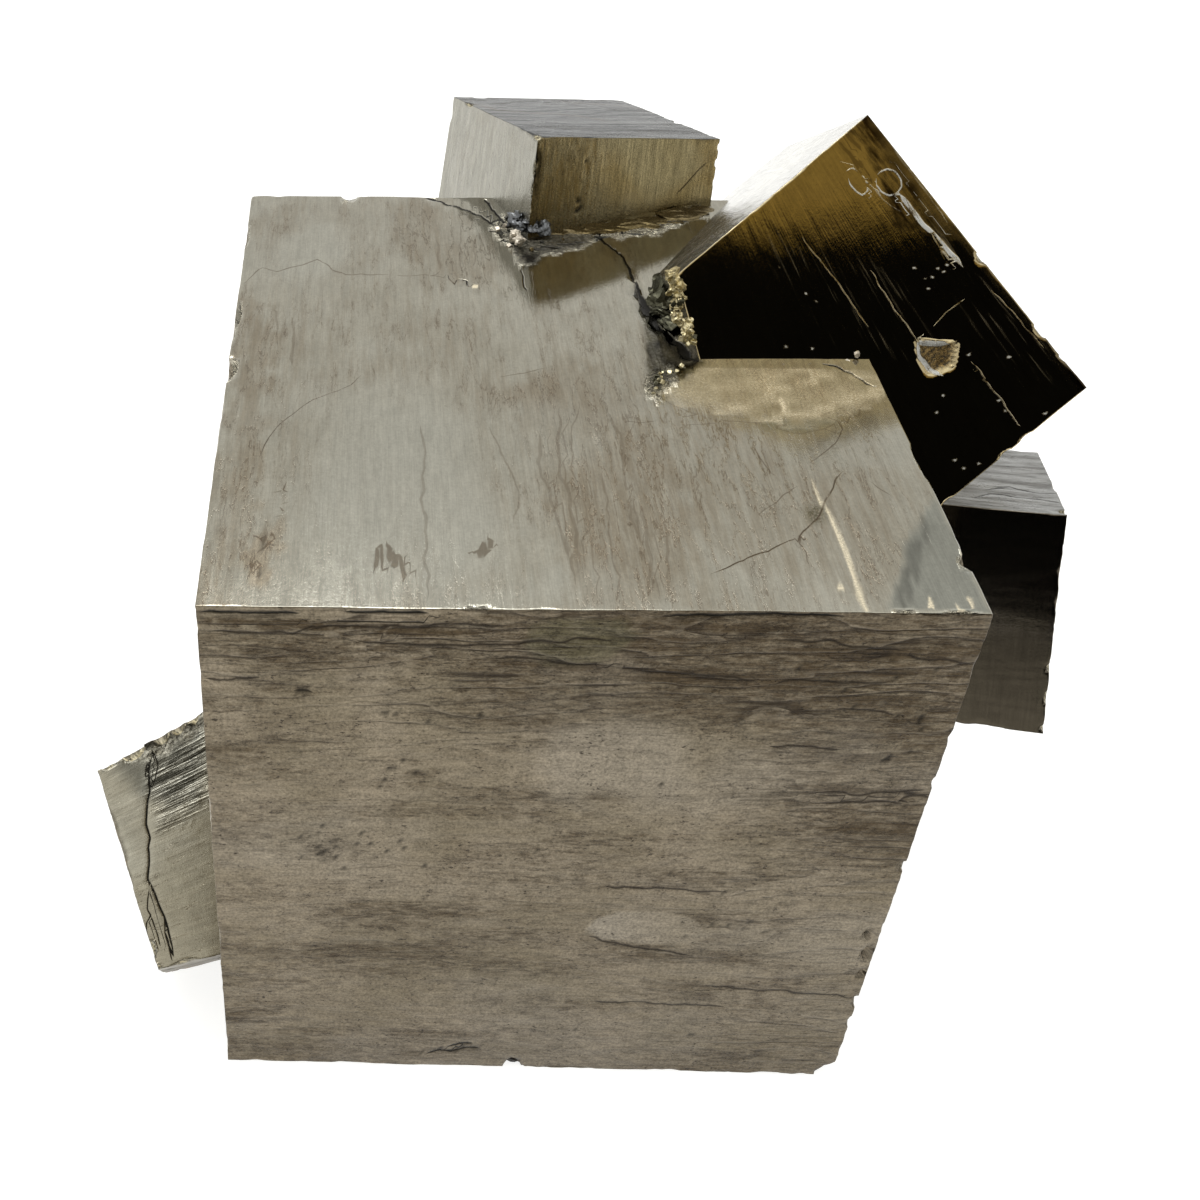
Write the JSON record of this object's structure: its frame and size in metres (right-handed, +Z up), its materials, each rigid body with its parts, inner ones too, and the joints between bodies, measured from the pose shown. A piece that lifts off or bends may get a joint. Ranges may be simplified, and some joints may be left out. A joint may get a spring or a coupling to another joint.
{
  "type": "pyrite specimen",
  "caption": "Cluster of intergrown pyrite cubes: one large striated block with smaller tilted cubes joined to its top and sides.",
  "frame": {"origin": "middle of the large cube's flat base, which the specimen rests on", "axes": "+Z up, -Y towards the viewer of the picture, +X to the viewer's right"},
  "size_m": [0.0741, 0.0675, 0.0615],
  "materials": {
    "pyrite": "satin metallic cube faces, brassy grey with brown tarnish, fine striations and dark growth lines"
  },
  "bodies": {
    "root": {"pyrite_cluster": "pyrite"}
  },
  "joints": []
}
